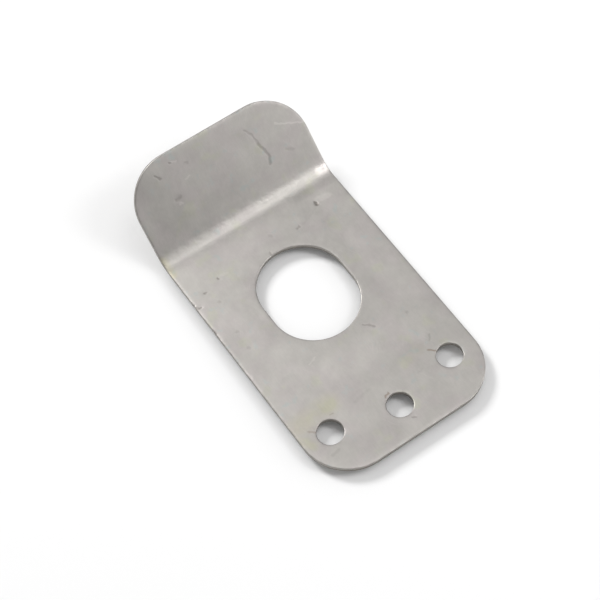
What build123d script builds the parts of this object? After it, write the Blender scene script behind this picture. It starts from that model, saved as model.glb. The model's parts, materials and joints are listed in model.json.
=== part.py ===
from build123d import *
from math import radians, tan
import os

# A stamped sheet-metal bracket, in millimetres.
#
# One flat blank with large rounded corners is folded once across its width, so that a short tab
# rises from the far end of the plate. The plate has an obround opening below the fold, and three
# screw holes near its free end.
#
# The bracket lies on the underside of its plate, at Z = 0. Its origin is midway between the two
# outer screw holes, with +X across the width, +Y from the free end towards the fold, and +Z up.

os.makedirs("parts", exist_ok=True)

# The sheet and its fold
sheet_thickness = 1.2
width = 50.0
plate_length = 75.0  # from the free end to the outside corner of the fold
tab_length = 25.0  # from the outside corner of the fold, up the slope, to the tab's edge
fold_angle = 45.0  # how far the tab is turned up out of the plate
inside_fold_radius = 6.0

# The rounded corners of the blank
plate_corner_radius = 12.5
tab_corner_radius = 12.5

# The obround opening, its straight sides along the plate
opening_width = 23.0
opening_straight = 5.0
end_to_opening = 47.0  # from the free end to the opening's centre

# The three screw holes
screw_hole_diameter = 6.6  # clears an M6 screw
outer_hole_spacing = 35.0
end_to_outer_holes = 12.5
middle_hole_step = 3.75  # how much nearer to the free end the middle hole is

# Blanking draws the upper edges of the sheet down into a small round, and leaves the lower
# ones sharp
edge_roll = 0.2

# A fold of this radius and angle starts one setback before its outside corner, on both sides
outside_fold_radius = inside_fold_radius + sheet_thickness
fold_setback = outside_fold_radius * tan(radians(fold_angle / 2))

free_end = -end_to_outer_holes
fold_start = free_end + plate_length - fold_setback

with BuildPart() as bracket:
    # Seen from the side, the underside runs flat to the fold, turns up in an arc and climbs
    # the tab. The sheet is that line thickened upwards, as wide as the blank.
    with BuildSketch(Plane.YZ):
        with BuildLine():
            plate_run = Line((free_end, 0), (fold_start, 0))
            fold_run = JernArc(plate_run @ 1, plate_run % 1, outside_fold_radius, fold_angle)
            PolarLine(fold_run @ 1, tab_length - fold_setback, direction=fold_run % 1)
            offset(amount=sheet_thickness, side=Side.LEFT)
        make_face()
    extrude(amount=width / 2, both=True)

    # The shortest straight edges go through the sheet at its four corners: two at the free end,
    # and two at the tab's edge
    through_edges = bracket.edges().filter_by(GeomType.LINE).group_by(SortBy.LENGTH)[0]
    fillet(through_edges.group_by(Axis.Y)[0], radius=plate_corner_radius)
    fillet(through_edges.group_by(Axis.Y)[-1], radius=tab_corner_radius)

    # The opening is pierced through the plate
    with BuildSketch(Plane.XY):
        with Locations((0, free_end + end_to_opening)):
            SlotCenterToCenter(opening_straight, opening_width, rotation=90)
    extrude(amount=sheet_thickness, mode=Mode.SUBTRACT)

    # The outer pair of screw holes lies on the X axis, either side of the origin
    with GridLocations(outer_hole_spacing, 0, 2, 1):
        Hole(screw_hole_diameter / 2)
    with Locations((0, -middle_hole_step)):
        Hole(screw_hole_diameter / 2)

    # The sheet's upper skin is the plate's top, the hollow of the fold and the tab's inner face.
    # Every edge of it is rolled, other than the two lines where the fold starts and ends.
    plate_top = bracket.faces().filter_by(Plane.XY).sort_by(Axis.Z)[-1]
    tab_slope = Plane.XY.rotated((fold_angle, 0, 0))
    tab_inside = bracket.faces().filter_by(tab_slope).sort_by(Axis.Z)[-1]
    round_faces = bracket.faces().filter_by(GeomType.CYLINDER)
    fold_faces = round_faces.filter_by(lambda face: face.axis_of_rotation.is_parallel(Axis.X))
    fold_hollow = fold_faces.sort_by(Axis.Z)[-1]
    upper_skin = ShapeList([plate_top, fold_hollow, tab_inside])
    fold_lines = fold_hollow.edges().filter_by(Axis.X)
    fillet(upper_skin.edges() - fold_lines, radius=edge_roll)

bracket.part.label = "bracket"
export_step(bracket.part, "parts/bracket.step")
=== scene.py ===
# %% [markdown]
# # A folded bracket of sheet steel
#
# A press makes this bracket in three blows. The first cuts a flat blank with round corners out
# of 1.2 mm sheet, the second pierces an obround opening and three screw holes in it, and the
# third turns a short tab up along a straight line. The lesson builds the bracket in the same
# order: every place on it is first worked out on the flat blank, and then carried to where
# the fold leaves it.
#
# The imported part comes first. It is the fixed frame that the finished piece has to fill.

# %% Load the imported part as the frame
import json
import math

import bpy
from mathutils import Matrix, Vector, noise
from mathutils.geometry import delaunay_2d_cdt


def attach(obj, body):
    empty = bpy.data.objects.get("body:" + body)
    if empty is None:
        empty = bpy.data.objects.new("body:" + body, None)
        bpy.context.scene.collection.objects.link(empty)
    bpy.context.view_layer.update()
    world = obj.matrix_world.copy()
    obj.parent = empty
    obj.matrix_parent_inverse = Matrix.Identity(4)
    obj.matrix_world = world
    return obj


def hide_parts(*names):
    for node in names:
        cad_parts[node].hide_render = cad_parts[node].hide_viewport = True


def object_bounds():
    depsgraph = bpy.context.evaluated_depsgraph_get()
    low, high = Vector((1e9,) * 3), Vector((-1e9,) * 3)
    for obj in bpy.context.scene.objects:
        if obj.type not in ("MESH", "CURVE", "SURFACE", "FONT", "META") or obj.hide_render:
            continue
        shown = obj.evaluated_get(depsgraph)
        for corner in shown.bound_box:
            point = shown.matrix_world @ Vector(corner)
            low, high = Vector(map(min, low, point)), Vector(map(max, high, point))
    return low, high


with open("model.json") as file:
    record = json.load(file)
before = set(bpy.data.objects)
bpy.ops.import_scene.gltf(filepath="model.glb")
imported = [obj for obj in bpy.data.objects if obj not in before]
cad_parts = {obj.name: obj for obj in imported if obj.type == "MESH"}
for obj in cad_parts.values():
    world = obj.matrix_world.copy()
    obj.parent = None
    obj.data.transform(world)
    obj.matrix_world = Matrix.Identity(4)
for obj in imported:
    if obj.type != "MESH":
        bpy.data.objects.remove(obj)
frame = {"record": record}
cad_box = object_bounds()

MM = 0.001
low, high = cad_box
print("the frame's box in millimetres:", [round(side / MM, 2) for side in high - low])

# %% [markdown]
# ## The sizes of the blank
#
# A sheet-metal worker thinks in flat sizes. The fold takes up a strip of the blank whose
# length is measured half-way through the sheet, where the metal is neither squeezed nor
# stretched. The flat plate and the flat tab each stop one setback short of the corner that
# their outer faces would meet in. The width, the free end and the screw holes are read
# from the frame, so that they can't drift away from it.

# %% Sheet, fold and blank
sheet = 1.2 * MM
fold_angle = math.radians(45)
inside_radius = 6.0 * MM
outside_radius = inside_radius + sheet
setback = outside_radius * math.tan(fold_angle / 2)

blank_width = high.x - low.x
free_end = low.y
plate_length = 75.0 * MM
tab_length = 25.0 * MM
plate_flat = plate_length - setback
fold_flat = (inside_radius + sheet / 2) * fold_angle
tab_flat = tab_length - setback
blank_length = plate_flat + fold_flat + tab_flat
corner_radius = 12.5 * MM

print("blank:", round(blank_width / MM, 2), "by", round(blank_length / MM, 2), "mm")

# %% Holes, measured along the blank from its free end
mounts = {mount["name"]: mount for mount in frame["record"]["mounts"]}
outer_pair = mounts["outer_screw_holes"]
middle_screw = mounts["middle_screw_hole"]
screw_radius = outer_pair["dims"]["hole_r_mm"] * MM
outer_across = outer_pair["dims"]["spacing_x_mm"] / 2 * MM
outer_along = outer_pair["pos_m"][1] - free_end
middle_along = middle_screw["pos_m"][1] - free_end

opening_along = 47.0 * MM
opening_half_width = 11.5 * MM
opening_half_length = 14.0 * MM

print("screw holes:", round(2 * screw_radius / MM, 2), "mm across")

# %% [markdown]
# ## One outline for every cut
#
# The blank's edge, the opening and the screw holes are all rectangles with round corners. A
# screw hole is simply one whose corners are as large as itself. So one function draws all
# five cuts, and another says how deep in the metal a place lies. The points come with the
# direction that faces out of each rectangle, because the rounded edge needs it later.

# %% The five cuts
FEWEST_ARC_STEPS = 8


class Cut:
    """A rectangle with round corners, cut out of the sheet or around it."""

    def __init__(self, across, along, half_width, half_length, corner, is_hole):
        self.centre = Vector((across, along))
        self.half = Vector((half_width, half_length))
        self.corner = corner
        self.is_hole = is_hole
        self.into_metal = 1 if is_hole else -1

    def distance(self, across, along):
        """How far a place is outside the rectangle; less than nothing inside it."""
        core = self.half - Vector((self.corner, self.corner))
        over_x = abs(across - self.centre.x) - core.x
        over_y = abs(along - self.centre.y) - core.y
        outside = math.hypot(max(over_x, 0), max(over_y, 0))
        return outside + min(max(over_x, over_y), 0) - self.corner

    def points(self, spacing):
        """Places round the cut, anticlockwise, each with its outward direction."""
        core = self.half - Vector((self.corner, self.corner))
        arc_steps = max(math.ceil(math.pi / 2 * self.corner / spacing), FEWEST_ARC_STEPS)
        found = []
        for quarter, (side_x, side_y) in enumerate(((1, 1), (-1, 1), (-1, -1), (1, -1))):
            middle = self.centre + Vector((side_x * core.x, side_y * core.y))
            for step in range(arc_steps):
                angle = math.pi / 2 * (quarter + step / arc_steps)
                out = Vector((math.cos(angle), math.sin(angle)))
                found.append((middle + out * self.corner, out))
            angle = math.pi / 2 * (quarter + 1)
            out = Vector((math.cos(angle), math.sin(angle)))
            onward = Vector((-out.y, out.x))
            run = 2 * (core.x if quarter % 2 == 0 else core.y)
            run_steps = round(run / spacing)
            for step in range(run_steps):
                found.append((middle + out * self.corner + onward * run * step / run_steps, out))
        return found


blank_edge = Cut(
    0, blank_length / 2, blank_width / 2, blank_length / 2, corner_radius, is_hole=False
)
opening = Cut(
    0, opening_along, opening_half_width, opening_half_length, opening_half_width, is_hole=True
)
screw_places = ((-outer_across, outer_along), (0, middle_along), (outer_across, outer_along))
screw_holes = [
    Cut(across, along, screw_radius, screw_radius, screw_radius, is_hole=True)
    for across, along in screw_places
]
cuts = [blank_edge, opening, *screw_holes]


def depth_in_metal(across, along):
    """How far a place lies from the nearest cut edge; less than nothing off the metal."""
    return min(cut.distance(across, along) * cut.into_metal for cut in cuts)


print(len(cuts), "cuts; the web beside the opening is",
      round((blank_width / 2 - opening_half_width) / MM, 2), "mm")

# %% [markdown]
# ## The fold
#
# Blender's Simple Deform could bend a flat mesh, but it bends about a fixed line and stretches
# what it bends. A fold in sheet metal is easy to say exactly: up to the fold nothing moves,
# inside it the metal follows an arc, and past it the tab runs straight up the slope. The arc's
# radius depends on how high in the sheet a place lies, which gives the hollow of the fold
# its tight radius and the outside its wide one.

# %% Carry a place on the blank to its place on the bracket
def folded(across, along, height):
    """Where a place on the blank, at a height over its underside, ends up."""
    in_fold = min(max(along - plate_flat, 0), fold_flat)
    up_tab = max(along - plate_flat - fold_flat, 0)
    angle = fold_angle * in_fold / fold_flat
    radius = outside_radius - height
    y = free_end + min(along, plate_flat) + radius * math.sin(angle) + up_tab * math.cos(angle)
    z = outside_radius - radius * math.cos(angle) + up_tab * math.sin(angle)
    return Vector((across, y, z))


tab_edge = folded(0, blank_length, 0)
print("the tab's edge comes to", [round(x / MM, 2) for x in tab_edge], "mm")

# %% [markdown]
# ## Handling marks in the metal
#
# Sheet from a coil is never quite flat, and a bracket that has lain in a bin has small dents
# and nicked edges. They belong in the mesh, because they bend the reflections and break the
# outline. The sheet's slow wave lifts it by a few hundredths of a millimetre and never
# sinks it, so it still lies on its underside. A dent is a soft hollow in the upper skin, and
# a nick pushes a short stretch of the left edge inwards.

# %% Wave, dents and nicks
WAVE_LIFT = 0.05 * MM
WAVE_LENGTH = 26 * MM
WAVE_SLICE = 0.5

# across, along, radius, depth
DENTS = [
    (-24.0 * MM, 59.0 * MM, 0.9 * MM, 0.02 * MM),
    (16.4 * MM, 67.1 * MM, 0.6 * MM, 0.08 * MM),
    (-13.6 * MM, 87.5 * MM, 1.6 * MM, 0.025 * MM),
    (-8.0 * MM, 58.0 * MM, 4.0 * MM, 0.03 * MM),
    (17.0 * MM, 38.0 * MM, 5.0 * MM, 0.03 * MM),
    (6.0 * MM, 92.0 * MM, 4.5 * MM, 0.03 * MM),
]

# along, half length, depth; all of them are in the straight part of the left edge
NICKS = [
    (60.3 * MM, 0.5 * MM, 0.22 * MM),
    (51.7 * MM, 0.35 * MM, 0.18 * MM),
    (53.0 * MM, 0.8 * MM, 0.07 * MM),
    (35.1 * MM, 0.3 * MM, 0.10 * MM),
]
FACES_LEFT = -0.99


def bell(distance, reach):
    """A smooth hump: one at the middle, nothing beyond its reach."""
    share = min(abs(distance) / reach, 1)
    return (1 - share * share) ** 2


def lift(across, along):
    """The slow wave of the coil, which dies out up the tab."""
    wave = noise.noise(Vector((across / WAVE_LENGTH, along / WAVE_LENGTH, WAVE_SLICE)))
    up_tab = min(max(along - plate_flat - fold_flat, 0) / tab_flat, 1)
    return WAVE_LIFT * (0.5 + 0.5 * wave) * (1 - up_tab) ** 2


def dent(across, along):
    """How far the upper skin is pushed in."""
    return sum(
        depth * bell(math.hypot(across - x, along - y), radius)
        for x, y, radius, depth in DENTS
    )


def nick(place, out):
    """How far the blank's left edge is pushed in."""
    if out.x > FACES_LEFT:
        return 0
    return sum(depth * bell(place.y - along, reach) for along, reach, depth in NICKS)


print(len(DENTS), "dents and", len(NICKS), "nicks")

# %% [markdown]
# ## Marks that a life in the bin has left
#
# Besides the dents, the sheet carries marks with a place of their own. Small ones are a long
# scratch curled over the tab, pits, pale rubs, dried oil and rust at the holes. Broad ones are
# patches a little lighter or darker than the rest. Among them are painted light down the right
# side of the plate, painted shade beside the fold's highlight, over the left half of the fold and
# on the tab, and a painted highlight at the fold's right end. They could be painted on an image,
# which would then have to be kept and unwrapped. Instead each is a stroke along a few points,
# strongest on its line and fading out to its half width. The place that is tested wobbles a
# little, so that no stroke has a ruled edge, and the wobble has a seed of its own, so that it
# comes out the same each time. Every point of the mesh will carry how strong each kind of mark
# is there, and the material turns that into dirt, shine, rust, and painted light and shade.

# %% A stroke
WOBBLE = 0.3 * MM
WOBBLE_SIZE = 0.8 * MM
WOBBLE_SEED = 1  # without one, noise_vector takes its seed from the clock
FULL_SHARE = 0.25  # of its half width, over which a mark keeps its full strength

noise.seed_set(WOBBLE_SEED)


def wobbled(place):
    """The place, moved a little by a noise."""
    turn = noise.noise_vector(Vector((place.x, place.y, 0)) / WOBBLE_SIZE)
    return place + WOBBLE * turn.xy


class Stroke:
    """A mark along a line, with its half width in millimetres and its strength."""

    def __init__(self, points, half_width, strength):
        self.points = [Vector(point) * MM for point in points]
        self.half_width = half_width * MM
        self.strength = strength
        self.low = Vector([min(point[i] for point in self.points) for i in (0, 1)])
        self.high = Vector([max(point[i] for point in self.points) for i in (0, 1)])

    def distance(self, place):
        """How far a place is from the line, or endless if it is clearly too far."""
        far = max(*(self.low - place), *(place - self.high))
        if far > self.half_width + WOBBLE:
            return math.inf
        gaps = []
        for start, end in zip(self.points, self.points[1:]):
            stretch = end - start
            share = (place - start).dot(stretch) / stretch.length_squared
            gaps.append((place - start - stretch * min(max(share, 0), 1)).length)
        return min(gaps)

    def at(self, place):
        """How strong the mark is at a place."""
        share = self.distance(place) / self.half_width
        fade = min(max((share - FULL_SHARE) / (1 - FULL_SHARE), 0), 1)
        return self.strength * (1 - fade * fade * (3 - 2 * fade))


trial = Stroke([(0, 0), (0, 2)], 1.0, 1.0)
print("a trial mark, from its line outwards:",
      [round(trial.at(Vector((step, 1)) * MM), 2) for step in (0, 0.25, 0.5, 0.75, 1)])

# %% Where the marks are, in millimetres across and along the blank
SCRATCHES = {
    "curl on the tab, upper end": Stroke([(9.5, 94.1), (10.9, 91.9), (11.2, 89.4)], 0.45, 0.3),
    "curl on the tab, lower end": Stroke([(11.2, 89.4), (12.2, 86.6), (12.4, 85.0), (11.7, 83.3)],
                                         0.62, 0.5),
    "dash at the tab's left corner": Stroke([(-16.4, 95.5), (-15.3, 94.1)], 0.42, 0.55),
    "dash on the tab's right": Stroke([(17.3, 84.4), (19.2, 83.4)], 0.5, 0.2),
    "scratch under the opening": Stroke([(5.5, 31.5), (6.5, 30.8), (7.6, 29.4)], 0.4, 0.5),
    "dash over the right hole": Stroke([(17.0, 20.0), (16.1, 18.7)], 0.36, 0.35),
    "tick from the nicked edge": Stroke([(-25.0, 59.8), (-24.4, 58.9), (-23.6, 58.8)], 0.40, 0.8),
    "tick over the opening": Stroke([(-1.3, 62.2), (-1.3, 61.2)], 0.28, 0.5),
    "dash at the free end": Stroke([(0.4, 4.4), (1.2, 3.7)], 0.35, 0.5),
    "faint dash beside the middle hole": Stroke([(8.7, 13.1), (9.9, 13.3)], 0.6, 0.12),
    "faint dash at the left corner": Stroke([(-20.5, 7.3), (-18.4, 7.6)], 0.5, 0.2),
    "faint streak over the middle hole": Stroke([(-8.4, 15.6), (-3.8, 16.2)], 0.7, 0.12),
    "hairline from the deep pit": Stroke([(16.0, 66.3), (12.0, 64.6), (8.9, 63.8)], 0.4, 0.08),
}
PITS = {
    "deep pit under the fold": Stroke([(16.35, 67.5), (16.5, 66.7)], 0.70, 1.0),
    "pit on the left": Stroke([(-15.9, 63.5), (-15.8, 63.3)], 0.48, 0.75),
    "pit near the left edge": Stroke([(-20.8, 61.7), (-20.6, 61.5)], 0.48, 0.7),
    "pit on the right": Stroke([(8.4, 63.8), (9.0, 64.0)], 0.6, 0.55),
    "shallow pit over the opening": Stroke([(1.6, 66.1), (1.8, 65.9)], 0.8, 0.3),
    "bruise on the tab": Stroke([(-14.2, 87.4), (-13.0, 87.6)], 0.75, 0.4),
    "speck on the tab": Stroke([(-11.5, 96.6), (-11.3, 96.4)], 0.42, 0.6),
    "faint speck on the tab": Stroke([(-8.0, 94.6), (-7.2, 94.3)], 0.6, 0.3),
    "edge pit": Stroke([(-25.0, 51.3), (-24.8, 50.7)], 0.55, 0.9),
    "second edge pit": Stroke([(-25.0, 49.5), (-24.9, 49.1)], 0.45, 0.6),
    "faint speck on the left, high": Stroke([(-19.3, 57.6), (-19.1, 57.4)], 0.6, 0.35),
    "faint speck on the left": Stroke([(-20.4, 48.0), (-20.2, 47.8)], 0.6, 0.35),
    "faint speck on the left, low": Stroke([(-20.6, 42.6), (-20.4, 42.4)], 0.6, 0.3),
    "faint speck on the right": Stroke([(16.1, 28.2), (16.3, 28.0)], 0.55, 0.3),
}
RUBS = {
    "line over the tab's right corner": Stroke([(17.6, 91.6), (24.5, 88.3)], 0.45, 0.7),
    "fleck on the tab": Stroke([(-11.0, 96.6), (-9.6, 96.1)], 0.4, 0.8),
    "small rub on the tab": Stroke([(-9.5, 90.9), (-8.3, 91.2)], 0.45, 0.6),
    "rub under the bruise": Stroke([(-13.8, 86.3), (-13.2, 86.1)], 0.6, 0.9),
    "wide rub on the tab": Stroke([(-12.8, 84.6), (-9.8, 83.4)], 1.7, 0.35),
    "rub beside the deep pit": Stroke([(17.6, 68.0), (20.2, 67.4)], 1.4, 1.0),
    "rub beside the left pit": Stroke([(-14.8, 63.8), (-13.3, 63.4)], 0.8, 0.5),
    "line under the opening": Stroke([(-11.3, 30.2), (-9.0, 31.0)], 0.4, 0.6),
    "scuffed left edge": Stroke([(-24.8, 38.0), (-24.9, 34.9)], 0.4, 1.0),
}
# Painted light and paler patches. The broad strip down the right side of the plate is painted
# light. The patches under and over the opening are paler areas.
PAINTED_LIGHT_AND_PALE_PATCHES = {
    "down the right side": Stroke([(21.5, 72.0), (19.5, 33.0)], 7.0, 0.9),
    "under the opening": Stroke([(-15.0, 35.0), (-10.0, 27.0), (15.0, 24.0)], 7.0, 0.6),
    "over the opening": Stroke([(-2.0, 67.0), (8.0, 66.0)], 5.0, 0.5),
}
# Painted shade and darker patches. The bands along both sides of the fold's highlight, the left
# half of the fold, and the left side and the foot of the tab are painted shade. The patches left
# of the opening, between the holes and at the free end's left corner are darker patches.
PAINTED_SHADE_AND_DARK_PATCHES = {
    "under the fold, right": Stroke([(13.5, 71.3), (24.0, 71.0)], 1.9, 0.85),
    "over the fold, left": Stroke([(-19.0, 78.4), (5.0, 78.4)], 1.5, 0.4),
    "left of the opening": Stroke([(-14.0, 45.5), (-13.6, 42.8)], 2.6, 0.45),
    "between the holes": Stroke([(-9.0, 17.5), (6.0, 18.5)], 2.2, 0.25),
    "left side of the tab": Stroke([(-19.5, 93.0), (-17.0, 83.0)], 7.0, 0.9),
    "foot of the tab": Stroke([(-8.0, 82.5), (9.0, 82.5)], 4.0, 0.5),
    "left half of the fold": Stroke([(-23.0, 76.5), (-10.0, 76.5)], 4.0, 0.6),
    "left corner of the free end": Stroke([(-20.0, 13.0), (-17.0, 6.0), (-6.0, 4.5)], 6.0, 0.7),
}
RUST = {
    "streak at the right hole": Stroke([(14.1, 16.7), (15.6, 15.3)], 0.4, 0.85),
    "streak at the left hole": Stroke([(-21.7, 15.5), (-20.1, 14.2)], 0.36, 0.5),
    "spot at the middle hole": Stroke([(-1.7, 12.4), (-0.4, 12.8)], 0.4, 0.85),
    "spot over the left hole": Stroke([(-15.0, 16.2), (-14.2, 16.0)], 0.36, 0.45),
}
OIL = {
    "dried over the left hole": Stroke([(-23.5, 18.0), (-13.5, 18.8)], 4.0, 0.55),
    "beside the left hole": Stroke([(-24.5, 14.5), (-23.0, 12.0)], 2.0, 0.6),
    "left end of the fold": Stroke([(-25.0, 75.6), (-24.8, 71.0)], 2.2, 1.0),
    "over the middle hole": Stroke([(8.0, 17.0), (13.0, 18.5)], 2.5, 0.2),
}
# A painted highlight: the right end of the fold is painted lighter, and is also made smoother.
FOLD_END_HIGHLIGHT = {
    "right end of the fold": Stroke([(22.8, 74.9), (25.0, 75.0)], 2.2, 1.0),
}

MARKS = {
    "scratched": SCRATCHES, "pitted": PITS, "rubbed": RUBS, "painted_light_and_pale_patches": PAINTED_LIGHT_AND_PALE_PATCHES,
    "painted_shade_and_dark_patches": PAINTED_SHADE_AND_DARK_PATCHES, "rusted": RUST, "oiled": OIL, "smooth_painted_highlight": FOLD_END_HIGHLIGHT,
}
print(sum(len(kind) for kind in MARKS.values()), "marks of", len(MARKS), "kinds")

# %% [markdown]
# ## The cut edge
#
# A sheared edge has zones that each catch the light their own way. The tool first draws the
# skin down into a small round and then shears a smooth band. Past that the metal tears off in
# a rougher, slightly leaning band, down to the sharp lower edge. A bevel could only make the
# round, so the edge is a stack of rings around a cut: each ring has a height in the sheet and
# a distance into the metal. The tear starts at an uneven height, so its rings follow a little
# noise.

# %% The rings of a cut edge
EDGE_SPACING = 0.3 * MM
ROLL = 0.2 * MM
ROLL_STEPS = 5
TEAR_START = 0.55 * sheet
TEAR_WANDER = 0.12 * MM
TEAR_WANDER_SIZE = 1.7 * MM
TEAR_TURN = 0.03 * MM  # how far over and under its start the metal turns into the tear
TEAR_STEP = 0.012 * MM
TEAR_LEAN = 0.05 * MM
TEAR_GRAIN = 0.012 * MM
TEAR_GRAIN_SIZE = 0.35 * MM
TEAR_RINGS = (0.6, 0.3, 0)  # as shares of the height at which the tear starts


def edge_rings(place):
    """(height, distance into the metal) from the upper skin down to the lower one."""
    rings = []
    for step in range(ROLL_STEPS + 1):
        angle = math.pi / 2 * step / ROLL_STEPS
        rings.append((sheet - ROLL * (1 - math.cos(angle)), ROLL * (1 - math.sin(angle))))
    wander = noise.noise(Vector((place.x, place.y, 0)) / TEAR_WANDER_SIZE)
    tear = TEAR_START + TEAR_WANDER * wander
    rings.append((tear + TEAR_TURN, 0))
    rings.append((tear - TEAR_TURN, TEAR_STEP))
    for share in TEAR_RINGS:
        grain = noise.noise(Vector((place.x, place.y, share * MM)) / TEAR_GRAIN_SIZE)
        lean = TEAR_STEP + (TEAR_LEAN - TEAR_STEP) * (1 - share)
        rings.append((tear * share, lean + TEAR_GRAIN * grain))
    return rings


print(len(edge_rings(Vector((0, 0)))), "rings in each cut edge")

# %% [markdown]
# ## The skins
#
# Each skin of the sheet is a flat area with holes in it. Filling it as one big face would
# leave long thin triangles that can't follow the wave or the fold. So rows of points are
# spread over the metal, closer together inside the fold, and a Delaunay triangulation joins
# them to the rings of the cut edges. It leaves out what lies outside the blank, and what it
# builds across the holes is dropped afterwards. The narrow marks are only about one to three
# rows wide, so a finer lattice takes over wherever one lies.

# %% Rows of points over the metal
SKIN_PITCH = 0.5 * MM
FOLD_ROWS = 18


def row_places():
    """How far along the blank each row of points lies."""
    rows = []
    for start, length, count in (
        (0, plate_flat, round(plate_flat / SKIN_PITCH)),
        (plate_flat, fold_flat, FOLD_ROWS),
        (plate_flat + fold_flat, tab_flat, round(tab_flat / SKIN_PITCH)),
    ):
        rows += [start + length * step / count for step in range(count)]
    return rows


def skin_places(margin):
    """Staggered points that lie at least a margin inside the metal."""
    found = []
    half_count = round(blank_width / 2 / SKIN_PITCH)
    for row, along in enumerate(row_places()):
        shift = SKIN_PITCH / 2 * (row % 2)
        for column in range(-half_count, half_count + 1):
            across = column * SKIN_PITCH + shift
            if depth_in_metal(across, along) > margin:
                found.append(Vector((across, along)))
    return found


print(len(row_places()), "rows of points, the closest of them",
      round(fold_flat / FOLD_ROWS / MM, 2), "mm apart")

# %% A finer lattice on the narrow marks
FINE_PITCH = 0.13 * MM
WIDEST_NARROW = 0.8 * MM
NARROW = [
    stroke for kind in MARKS.values() for stroke in kind.values()
    if stroke.half_width <= WIDEST_NARROW
]


def on_narrow_mark(place, margin):
    """Whether a place lies on a narrow mark or within a margin of it."""
    return any(stroke.distance(place) < stroke.half_width + margin for stroke in NARROW)


def fine_places(margin):
    """Lattice points on the narrow marks, at least a margin inside the metal."""
    found = set()
    for stroke in NARROW:
        reach = Vector((1, 1)) * (stroke.half_width + FINE_PITCH)
        first, last = (stroke.low - reach) / FINE_PITCH, (stroke.high + reach) / FINE_PITCH
        for column in range(math.floor(first.x), math.ceil(last.x) + 1):
            for row in range(math.floor(first.y), math.ceil(last.y) + 1):
                place = Vector((column, row)) * FINE_PITCH
                if stroke.distance(place) < stroke.half_width + FINE_PITCH:
                    found.add((column, row))
    places = [Vector(pair) * FINE_PITCH for pair in sorted(found)]
    return [place for place in places if depth_in_metal(place.x, place.y) > margin]


DEEPEST_NICK = max(depth for _, _, depth in NICKS)
BORDER_GAP = 0.15 * MM
MARGIN = ROLL + DEEPEST_NICK + BORDER_GAP
coarse_places = skin_places(MARGIN)
top_places = [place for place in coarse_places if not on_narrow_mark(place, 2 * FINE_PITCH)]
top_places += fine_places(MARGIN)
print(len(top_places), "points on the upper skin and", len(coarse_places), "on the lower")

# %% Join the points of one skin into triangles
SAME_PLACE = 1e-5  # millimetres, within which two points count as one
INSIDE_BORDERS = 1  # asks for no triangles outside the borders


def spans_hole(face, places, hole_spans):
    """Whether all corners are on one hole's border, and run round it the way the border does."""
    for first, last in hole_spans:
        if first <= min(face) and max(face) <= last:
            a, b, c = (places[i] for i in sorted(face))
            return (b - a).cross(c - a) > 0
    return False


def triangles(loops, inner):
    """Triangles over the loops' places followed by the inner ones, as index triples."""
    places = [place for loop in loops for place in loop] + inner
    borders = []
    spans = []
    start = 0
    for loop in loops:
        count = len(loop)
        borders += [(start + i, start + (i + 1) % count) for i in range(count)]
        spans.append((start, start + count - 1))
        start += count
    in_mm = [place / MM for place in places]
    joined = delaunay_2d_cdt(in_mm, borders, [], INSIDE_BORDERS, SAME_PLACE)
    faces, sources = joined[2], joined[3]
    named = [[sources[i][0] for i in face] for face in faces]
    return [face for face in named if not spans_hole(face, in_mm, spans[1:])]


trial = [[place for place, _ in cut.points(5 * MM)] for cut in (blank_edge, opening)]
print("a coarse trial, the blank and its opening alone:", len(triangles(trial, [])), "triangles")

# %% [markdown]
# ## The folded sheet
#
# Now the pieces go together. Every point keeps its place on the blank, in millimetres, as an
# attribute of the mesh. The material reads it, so that the grain and the stains run round the
# fold without a seam, as they do on sheet that was folded after it was rolled. A second
# attribute says how far a point lies from the nearest cut edge, for wear and dirt, and one
# for each kind of mark says how strong it is. Scratches and pits also sink the upper skin.

# %% Build the mesh
GOUGE_DEPTH = 0.035 * MM


class SheetMesh:
    """Points and faces of the bracket, with each point's place on the blank."""

    def __init__(self):
        self.points = []
        self.blank_places = []
        self.edge_depths = []
        self.marks = {kind: [] for kind in MARKS}
        self.faces = []

    def mark(self, place, height):
        """Notes how strong each kind of mark is; the lower skin has none."""
        tested = wobbled(place)
        on_top = height > sheet / 2
        for kind, strokes in MARKS.items():
            strengths = [stroke.at(tested) for stroke in strokes.values()] if on_top else [0]
            self.marks[kind].append(max(strengths))

    def add(self, across, along, height):
        """Adds a point by its place on the blank and returns its number."""
        share = height / sheet
        self.mark(Vector((across, along)), height)
        gouged = max(self.marks["scratched"][-1], self.marks["pitted"][-1])
        sunk = (dent(across, along) + GOUGE_DEPTH * gouged) * share
        self.points.append(folded(across, along, height - sunk + lift(across, along)))
        self.blank_places.append((across / MM, along / MM, height / MM))
        self.edge_depths.append(max(depth_in_metal(across, along), 0) / MM)
        return len(self.points) - 1


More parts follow.
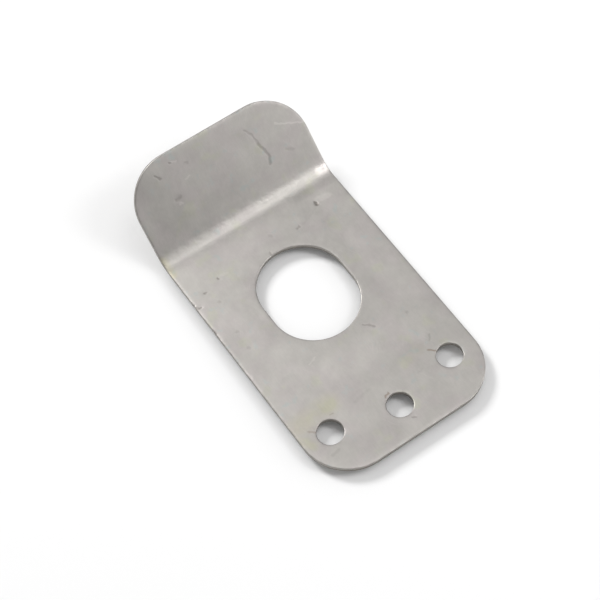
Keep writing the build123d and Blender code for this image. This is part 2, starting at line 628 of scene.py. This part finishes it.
def build_sheet():
    """The whole bracket: two skins joined by the rings of every cut edge."""
    mesh = SheetMesh()
    top_loops, bottom_loops = [], []
    top_numbers, bottom_numbers = [], []
    for cut in cuts:
        columns = []
        for place, out in cut.points(EDGE_SPACING):
            inward = out * cut.into_metal
            start = place + inward * (0 if cut.is_hole else nick(place, out))
            column = []
            for height, distance in edge_rings(place):
                at = start + inward * distance
                column.append((at, mesh.add(at.x, at.y, height)))
            columns.append(column)
        top_loops.append([column[0][0] for column in columns])
        bottom_loops.append([column[-1][0] for column in columns])
        top_numbers += [column[0][1] for column in columns]
        bottom_numbers += [column[-1][1] for column in columns]
        for first, second in zip(columns, columns[1:] + columns[:1]):
            for upper, lower in zip(range(len(first)), range(1, len(first))):
                face = [first[upper][1], first[lower][1], second[lower][1], second[upper][1]]
                mesh.faces.append(face[::-1] if cut.is_hole else face)
    for loops, numbers, inner, height, turned in (
        (top_loops, top_numbers, top_places, sheet, False),
        (bottom_loops, bottom_numbers, coarse_places, 0, True),
    ):
        numbers = numbers + [mesh.add(place.x, place.y, height) for place in inner]
        for face in triangles(loops, inner):
            corners = [numbers[i] for i in face]
            mesh.faces.append(corners[::-1] if turned else corners)
    return mesh


built = build_sheet()
print(len(built.points), "points and", len(built.faces), "faces")

# %% Make the piece and seat it in the frame
SHARP_ANGLE = math.radians(40)


def sheet_object(mesh):
    """The bracket as a Blender object, with the attributes that its material reads."""
    data = bpy.data.meshes.new("bracket_sheet")
    data.from_pydata(mesh.points, [], mesh.faces)
    data.update()
    places = data.attributes.new("blank_place", "FLOAT_VECTOR", "POINT")
    places.data.foreach_set("vector", [x for point in mesh.blank_places for x in point])
    for name, values in {"edge_depth": mesh.edge_depths, **mesh.marks}.items():
        numbers = data.attributes.new(name, "FLOAT", "POINT")
        numbers.data.foreach_set("value", values)
    data.shade_smooth()
    data.set_sharp_from_angle(angle=SHARP_ANGLE)
    piece = bpy.data.objects.new("bracket_sheet", data)
    bpy.context.scene.collection.objects.link(piece)
    return piece


bracket = sheet_object(built)
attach(bracket, "root")
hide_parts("bracket")
print("the lowest point is", round(min(p.z for p in built.points) / MM, 3), "mm up")

# %% [markdown]
# ## Steel
#
# Mill-rolled steel is grey with a warm cast and matt, because its reflections are blurred by a
# grain too fine to see. Close up it is never one colour: rolling oil dries in thin films that
# tint it yellow, rose or faintly green. All patterns are laid out in millimetres on the flat
# blank, so their sizes can be written down as they would be measured with a ruler.

# %% Short ways to write material nodes
steel = bpy.data.materials.new("rolled_steel")
steel.use_nodes = True
tree = steel.node_tree
shader = tree.nodes["Principled BSDF"]


def node(kind, inputs=(), **settings):
    """Adds a node and fills or links its inputs, in order or by name."""
    made = tree.nodes.new(kind)
    for name, value in settings.items():
        setattr(made, name, value)
    for name, value in dict(inputs).items():
        if isinstance(value, bpy.types.NodeSocket):
            tree.links.new(value, made.inputs[name])
        else:
            made.inputs[name].default_value = value
    return made


def calc(operation, first, second=0.0):
    """One step of arithmetic."""
    return node("ShaderNodeMath", {0: first, 1: second}, operation=operation).outputs[0]


def rescale(value, from_low, from_high, to_low=0.0, to_high=1.0):
    """Stretches a range of values to another, and holds it at both ends."""
    inputs = {
        "Value": value, "From Min": from_low, "From Max": from_high,
        "To Min": to_low, "To Max": to_high,
    }
    return node("ShaderNodeMapRange", inputs, interpolation_type="SMOOTHSTEP").outputs[0]


def cloud(where, size_mm, detail=2.0, roughness=0.5):
    """Soft noise whose patches are about a size across."""
    inputs = {"Vector": where, "Scale": 1 / size_mm, "Detail": detail, "Roughness": roughness}
    return node("ShaderNodeTexNoise", inputs).outputs[0]


def streaked(where, turn, across_mm, along_mm):
    """Coordinates turned and squeezed, so that a noise of size one becomes streaks."""
    turned = node("ShaderNodeVectorRotate", {"Vector": where, "Angle": math.radians(turn)},
                  rotation_type="Z_AXIS").outputs[0]
    scale = (1 / across_mm, 1 / along_mm, 1)
    return node("ShaderNodeVectorMath", {0: turned, 1: scale}, operation="MULTIPLY").outputs[0]


def moved(where, across_mm, along_mm):
    """Coordinates moved sideways, so that a second noise differs from the first."""
    shift = (across_mm, along_mm, 0)
    return node("ShaderNodeVectorMath", {0: where, 1: shift}, operation="ADD").outputs[0]


def blended(amount, first, second, blend_type="MIX"):
    """Mixes two colours."""
    made = node("ShaderNodeMix", {0: amount, 6: first, 7: second},
                data_type="RGBA", blend_type=blend_type)
    return made.outputs[2]


def toned(colour, brightness):
    """A colour made lighter or darker by a factor."""
    inputs = {0: colour, "Scale": brightness}
    return node("ShaderNodeVectorMath", inputs, operation="SCALE").outputs[0]


def carried(name):
    """A number that every point of the mesh carries."""
    return node("ShaderNodeAttribute", attribute_name=name).outputs["Fac"]


blank_place = node("ShaderNodeAttribute", attribute_name="blank_place").outputs["Vector"]
edge_depth = carried("edge_depth")
blank_axes = node("ShaderNodeSeparateXYZ", {0: blank_place}).outputs
along_blank = blank_axes["Y"]
height_in_sheet = blank_axes["Z"]
print(len(tree.nodes), "nodes to start with")

# %% [markdown]
# ### The rolled skin
#
# Four layers make the skin: patches of tint, broad stains from the oil, a mottle of a
# millimetre or two where the rolls pressed harder, and a grain drawn out along the coil. Each
# is faint, only a few percent, because a strong pattern would read as paint. Hairlines from
# handling lie over them. A noise seldom leaves the range from 0.3 to 0.7, so the levels
# between which a layer goes from nothing to its full effect lie in that range or near it.
# All sizes and depths are in millimetres.

# %% Patches of tint
WARM_STEEL = (0.470, 0.451, 0.426, 1)
ROSE_STEEL = (0.468, 0.440, 0.424, 1)
GREEN_STEEL = (0.442, 0.451, 0.436, 1)
OCHRE_STEEL = (0.468, 0.456, 0.405, 1)
ROSE_SIZE = 7
OCHRE_SIZE = 5
GREEN_SIZE = 2.5

rose = rescale(cloud(blank_place, ROSE_SIZE, 2), 0.42, 0.62)
ochre = rescale(cloud(moved(blank_place, 40, 9), OCHRE_SIZE, 2), 0.58, 0.70)
green = rescale(cloud(moved(blank_place, 7, 60), GREEN_SIZE, 2), 0.62, 0.74)
colour = blended(rose, WARM_STEEL, ROSE_STEEL)
colour = blended(ochre, colour, OCHRE_STEEL)
colour = blended(green, colour, GREEN_STEEL)
print("the patches of tint are from", GREEN_SIZE, "to", ROSE_SIZE, "mm across")

# %% Stains, mottle and grain
STAIN_SIZE = 14
STAIN_SWING = 0.02
MOTTLE_SIZE = 2.2
MOTTLE_SWING = 0.039
GRAIN_WIDTH = 0.22
GRAIN_LENGTH = 2.2
GRAIN_SWING = 0.023
ROUGHNESS_PATCH = 6
SMOOTHEST = 0.40
ROUGHEST = 0.44


def swing(value, from_low, from_high, share):
    """A factor that goes from a share below one to as much above it."""
    return rescale(value, from_low, from_high, 1 - share, 1 + share)


stain_noise = cloud(moved(blank_place, 0, 30), STAIN_SIZE, 3, 0.55)
stains = swing(stain_noise, 0.30, 0.70, STAIN_SWING)
mottle = swing(cloud(blank_place, MOTTLE_SIZE, 4, 0.62), 0.25, 0.75, MOTTLE_SWING)
grain_noise = cloud(streaked(blank_place, 0, GRAIN_WIDTH, GRAIN_LENGTH), 1, 2)
coil_grain = swing(grain_noise, 0.25, 0.75, GRAIN_SWING)
colour = toned(colour, calc("MULTIPLY", calc("MULTIPLY", stains, mottle), coil_grain))

roughness_noise = cloud(moved(blank_place, 21, 5), ROUGHNESS_PATCH, 4, 0.6)
roughness = rescale(roughness_noise, 0.3, 0.7, SMOOTHEST, ROUGHEST)
print("the tone swings by about", round(100 * (STAIN_SWING + MOTTLE_SWING + GRAIN_SWING)), "%")

# %% Hairlines from handling, in two directions
HAIRLINE_TURNS = (38, -27)
HAIRLINE_WIDTH = 0.16
HAIRLINE_LENGTH = 15
HAIRLINE_PATCH = 9
HAIRLINE_TONE = 1.07
HAIRLINE_DEPTH = 0.0015


def hairlines(turn):
    """Sparse thin lines: the crests of a noise drawn out nearly a hundred times."""
    drawn_out = cloud(streaked(blank_place, turn, HAIRLINE_WIDTH, HAIRLINE_LENGTH), 1, 1)
    lines = rescale(drawn_out, 0.66, 0.72)
    patches = cloud(moved(blank_place, turn, 0), HAIRLINE_PATCH, 2)
    return calc("MULTIPLY", lines, rescale(patches, 0.5, 0.62))


fine_lines = calc("MAXIMUM", *[hairlines(turn) for turn in HAIRLINE_TURNS])
colour = toned(colour, rescale(fine_lines, 0, 1, 1, HAIRLINE_TONE))
relief = calc("MULTIPLY", fine_lines, -HAIRLINE_DEPTH)
print("hairlines cross at", HAIRLINE_TURNS[0] - HAIRLINE_TURNS[1], "degrees")

# %% [markdown]
# ### The marks
#
# The marks now change the skin. Scratches and pits hold dirt, so they are darker and rougher,
# as well as sunk. Rubs are metal polished by something softer, so they are lighter and
# smoother. The broad pale and dark patches, painted light and painted shade among them, are
# only a tenth lighter or darker, and dried oil only tints. Rust is an oxide and no longer
# metal, so it takes metallic down with it.

# %% Marks into tone, roughness and metal
DIRT = (0.085, 0.072, 0.060, 1)
OIL_TINT = (1.0, 0.99, 0.84, 1)
RUST_BROWN = (0.160, 0.108, 0.070, 1)
OIL_PATCH = 2.4
OIL_THINNEST = 0.45
# The darker patches include painted shade, and the lighter ones include painted light.
MARK_TONES = {"painted_shade_and_dark_patches": 0.90, "painted_light_and_pale_patches": 1.10, "rubbed": 1.22}
DIRT_COVER = 0.62
DIRT_ROUGHER = 0.12
RUB_SMOOTHER = 0.05
RUST_COVER = 0.75
RUST_ROUGHER = 0.25
RUST_NOT_METAL = 0.8

strength = {kind: carried(kind) for kind in MARKS}
oil_film = rescale(cloud(blank_place, OIL_PATCH, 3), 0.30, 0.60, OIL_THINNEST, 1)
oiled = calc("MULTIPLY", strength["oiled"], oil_film)
colour = blended(oiled, colour, blended(1, colour, OIL_TINT, "MULTIPLY"))
for kind, tone in MARK_TONES.items():
    colour = toned(colour, rescale(strength[kind], 0, 1, 1, tone))
gouged = calc("MAXIMUM", strength["scratched"], strength["pitted"])
colour = blended(calc("MULTIPLY", gouged, DIRT_COVER), colour, DIRT)
colour = blended(calc("MULTIPLY", strength["rusted"], RUST_COVER), colour, RUST_BROWN)

roughness = calc("ADD", roughness, calc("MULTIPLY", gouged, DIRT_ROUGHER))
roughness = calc("SUBTRACT", roughness, calc("MULTIPLY", strength["rubbed"], RUB_SMOOTHER))
roughness = calc("ADD", roughness, calc("MULTIPLY", strength["rusted"], RUST_ROUGHER))
metallic = calc("SUBTRACT", 1, calc("MULTIPLY", strength["rusted"], RUST_NOT_METAL))
print("marks at full strength change the tone by", MARK_TONES)

# %% [markdown]
# ### The fold
#
# Bending roughens steel: on the stretched and the squeezed side its grains turn by different
# amounts, and the skin there goes slightly uneven, like the peel of an orange. The rest of the
# skin has a much fainter relief, from the rolls and from the grain, which breaks up its
# reflections. All of it is only hundredths of a millimetre deep and mostly finer than the
# mesh, so it is left to bump. At the right end of the hollow the skin is smoother and painted
# lighter, as a painted highlight.

# %% Peel, relief and the painted highlight at the fold's right end
PEEL_SIZE = 3.5
PEEL_DEPTH = 0.055
FINE_PEEL_SIZE = 0.9
FINE_PEEL_SHARE = 0.6
PEEL_STARTS = 1.5  # outside the fold
PEEL_FULL = 1  # inside it
SKIN_RELIEF = {1.8: 0.005, 0.25: 0.0012}  # depth by size, of the rolls and of the grain
HIGHLIGHT_SMOOTHER = 0.07
PAINTED_HIGHLIGHT_TONE = 1.12

fold_low = plate_flat / MM
fold_high = (plate_flat + fold_flat) / MM
into_fold = rescale(along_blank, fold_low - PEEL_STARTS, fold_low + PEEL_FULL)
out_of_fold = rescale(along_blank, fold_high - PEEL_FULL, fold_high + PEEL_STARTS, 1, 0)
peel_strength = calc("MULTIPLY", calc("MULTIPLY", into_fold, out_of_fold), PEEL_DEPTH)

fine_peel = calc("MULTIPLY", cloud(blank_place, FINE_PEEL_SIZE, 1), FINE_PEEL_SHARE)
peel = calc("ADD", cloud(blank_place, PEEL_SIZE, 1), fine_peel)
relief = calc("ADD", relief, calc("MULTIPLY", peel, peel_strength))
for size, depth in SKIN_RELIEF.items():
    relief = calc("ADD", relief, calc("MULTIPLY", cloud(blank_place, size, 2), depth))

# Painted highlight at the fold's right end: lower roughness and a lighter colour.
smooth_painted_highlight = strength["smooth_painted_highlight"]
roughness = calc("SUBTRACT", roughness, calc("MULTIPLY", smooth_painted_highlight, HIGHLIGHT_SMOOTHER))
colour = toned(colour, rescale(smooth_painted_highlight, 0, 1, 1, PAINTED_HIGHLIGHT_TONE))
print("the fold runs from", round(fold_low, 2), "to", round(fold_high, 2), "mm along the blank")

# %% [markdown]
# ### The cut edges
#
# On the cut edges, the height in the sheet tells the zones apart: the torn band is darker and
# rougher than the sheared band over it, and a fine grain covers both. Both are painted darker
# than the skin, as painted shade on the cut edge. The rim of the skin is painted a little darker
# as well, in uneven patches: painted shade that dims the highlight along its round.

# %% Bands of the cut edge, and the rim of the skin
# Painted shade: both bands of the cut edge are darker than the skin.
SHADED_SHEARED_STEEL = (0.37, 0.35, 0.325, 1)
SHADED_TORN_STEEL = (0.26, 0.243, 0.220, 1)
TORN_ROUGHER = 0.14
WALL_GRAIN_SIZE = 0.3
WALL_GRAIN_TONES = (0.86, 1.1)
RIM_WIDTH = 0.5
RIM_PATCH = 2.2
RIM_SHADE_TONES = (0.78, 0.95)

roll_low = (sheet - ROLL) / MM
tear_high = TEAR_START / MM
on_edge = rescale(edge_depth, 0.02, ROLL / MM + 0.02, 1, 0)
below_roll = rescale(height_in_sheet, roll_low + 0.02, roll_low + 0.14, 1, 0)
on_wall = calc("MULTIPLY", on_edge, below_roll)
below_tear = rescale(height_in_sheet, tear_high - 0.06, tear_high + 0.04, 1, 0)
torn = calc("MULTIPLY", below_tear, on_wall)
wall_grain = rescale(cloud(blank_place, WALL_GRAIN_SIZE, 2), 0.3, 0.7, *WALL_GRAIN_TONES)
shaded_wall_colour = toned(blended(torn, SHADED_SHEARED_STEEL, SHADED_TORN_STEEL), wall_grain)
colour = blended(on_wall, colour, shaded_wall_colour)
roughness = calc("ADD", roughness, calc("MULTIPLY", torn, TORN_ROUGHER))

near_edge = rescale(edge_depth, 0.05, RIM_WIDTH, 1, 0)
rim = calc("MULTIPLY", near_edge, rescale(height_in_sheet, roll_low, roll_low + 0.1))
# Painted shade: the rounded rim is darkened in patches, which dims the highlight that it catches.
rim_painted_shade = rescale(cloud(blank_place, RIM_PATCH, 3), 0.42, 0.62, *RIM_SHADE_TONES)
colour = toned(colour, node("ShaderNodeMix", {0: rim, 2: 1.0, 3: rim_painted_shade}).outputs[0])
print("the tear starts about", round(tear_high, 2), "mm up and the roll", round(roll_low, 2))

# %% Join the layers to the shader
relief_mm = node("ShaderNodeBump", {"Strength": 1.0, "Distance": MM, "Height": relief})
tree.links.new(colour, shader.inputs["Base Color"])
tree.links.new(roughness, shader.inputs["Roughness"])
tree.links.new(metallic, shader.inputs["Metallic"])
tree.links.new(relief_mm.outputs[0], shader.inputs["Normal"])
bracket.data.materials.append(steel)
print(len(tree.nodes), "nodes in the steel")

# %% [markdown]
# ## Floor, lights and camera
#
# The floor lies 2 mm under the bracket, as if the bracket stood on feet too small to see. A
# sheet as thin as this one hides its shadow when it lies flat, and the gap lets the shadow step
# out and show through the holes. The floor's pale grey is chosen so that it comes out just white
# under these lamps.
#
# Rough metal shows a blurred picture of whatever it faces, so a lamp is placed where a part of
# the sheet would mirror it towards the camera. The key stands beyond the tab and lights the plate,
# with a weaker lamp overhead. Two lamps on the right draw the bright line along the hollow of the
# fold, stronger at its right end because one of them is near. The last lamp fills the tab, and
# the world's even light keeps the shadows open.
#
# The camera stands on the side of the free end, a little to the left, and looks steeply down
# through a long lens, so that parallel edges stay nearly parallel.

# %% Floor
FLOOR_DROP = 2.0 * MM
FLOOR_HALF = 1.5
PALE_GREY = (0.88, 0.88, 0.88, 1)
FLOOR_ROUGHNESS = 0.8


def flat_material(name, colour, roughness):
    """A plain surface of one colour."""
    made = bpy.data.materials.new(name)
    made.use_nodes = True
    surface = made.node_tree.nodes["Principled BSDF"]
    surface.inputs["Base Color"].default_value = colour
    surface.inputs["Roughness"].default_value = roughness
    return made


def floor_object():
    """A wide square under the bracket."""
    data = bpy.data.meshes.new("floor")
    signs = ((-1, -1), (1, -1), (1, 1), (-1, 1))
    data.from_pydata([(x * FLOOR_HALF, y * FLOOR_HALF, -FLOOR_DROP) for x, y in signs],
                     [], [(0, 1, 2, 3)])
    data.materials.append(flat_material("pale_floor", PALE_GREY, FLOOR_ROUGHNESS))
    made = bpy.data.objects.new("floor", data)
    bpy.context.scene.collection.objects.link(made)
    return made


floor = floor_object()
print("the floor is", round(floor.dimensions.x, 1), "m wide")

# %% World and lamps
WORLD_LEVEL = 0.47
LAMP_TARGET = Vector((0, 35, 0)) * MM

# name, direction from the target, distance and width in metres, level
LAMPS = [
    ("key", (-0.20, 0.71, 0.67), 1.0, 0.3, 21.5),
    ("overhead", (0.10, 0.10, 0.99), 1.0, 0.3, 1.6),
    ("right", (0.30, -0.10, 0.95), 1.0, 0.3, 2.8),
    ("over_fold", (0.50, -0.40, 0.77), 0.45, 0.13, 6.6),
    ("low_right", (0.75, -0.55, 0.36), 1.0, 0.7, 1.2),
]

world = bpy.data.worlds.new("studio")
bpy.context.scene.world = world
world.use_nodes = True
backdrop = world.node_tree.nodes["Background"]
backdrop.inputs["Color"].default_value = (1, 1, 1, 1)
backdrop.inputs["Strength"].default_value = WORLD_LEVEL


def softbox(name, towards, distance, size, level):
    """A square lamp that faces the target. A level of 1 looks as bright as a white wall."""
    data = bpy.data.lights.new(name, "AREA")
    data.size = size
    data.energy = level * math.pi * size * size
    made = bpy.data.objects.new(name, data)
    bpy.context.scene.collection.objects.link(made)
    aim = Vector(towards).normalized()
    made.location = LAMP_TARGET + aim * distance
    made.rotation_euler = aim.to_track_quat("Z", "Y").to_euler()
    return made


lamps = [softbox(*row) for row in LAMPS]
print("watts:", {lamp.name: round(lamp.data.energy, 2) for lamp in lamps})

# %% Camera
CAMERA_TARGET = Vector((-2.949, 33.793, 1.2)) * MM
CAMERA_AZIMUTH = math.radians(-29.588)
CAMERA_ELEVATION = math.radians(59.722)
CAMERA_ROLL = math.radians(5.652)
CAMERA_DISTANCE = 432.35 * MM
CAMERA_LENS = 105.67  # millimetres, as a lens is marked


def make_camera():
    """A camera that looks at the target from its azimuth and elevation, and is then rolled."""
    data = bpy.data.cameras.new("camera")
    data.lens = CAMERA_LENS
    made = bpy.data.objects.new("camera", data)
    bpy.context.scene.collection.objects.link(made)
    back = Vector((
        math.sin(CAMERA_AZIMUTH) * math.cos(CAMERA_ELEVATION),
        -math.cos(CAMERA_AZIMUTH) * math.cos(CAMERA_ELEVATION),
        math.sin(CAMERA_ELEVATION),
    ))
    upright = back.to_track_quat("Z", "Y").to_matrix().to_4x4()
    rolled = upright @ Matrix.Rotation(-CAMERA_ROLL, 4, "Z")
    made.matrix_world = Matrix.Translation(CAMERA_TARGET + back * CAMERA_DISTANCE) @ rolled
    bpy.context.scene.camera = made
    return made


camera = make_camera()
bpy.context.scene.view_settings.view_transform = "Standard"
print("the camera stands", round(camera.matrix_world.translation.z, 3), "m up")
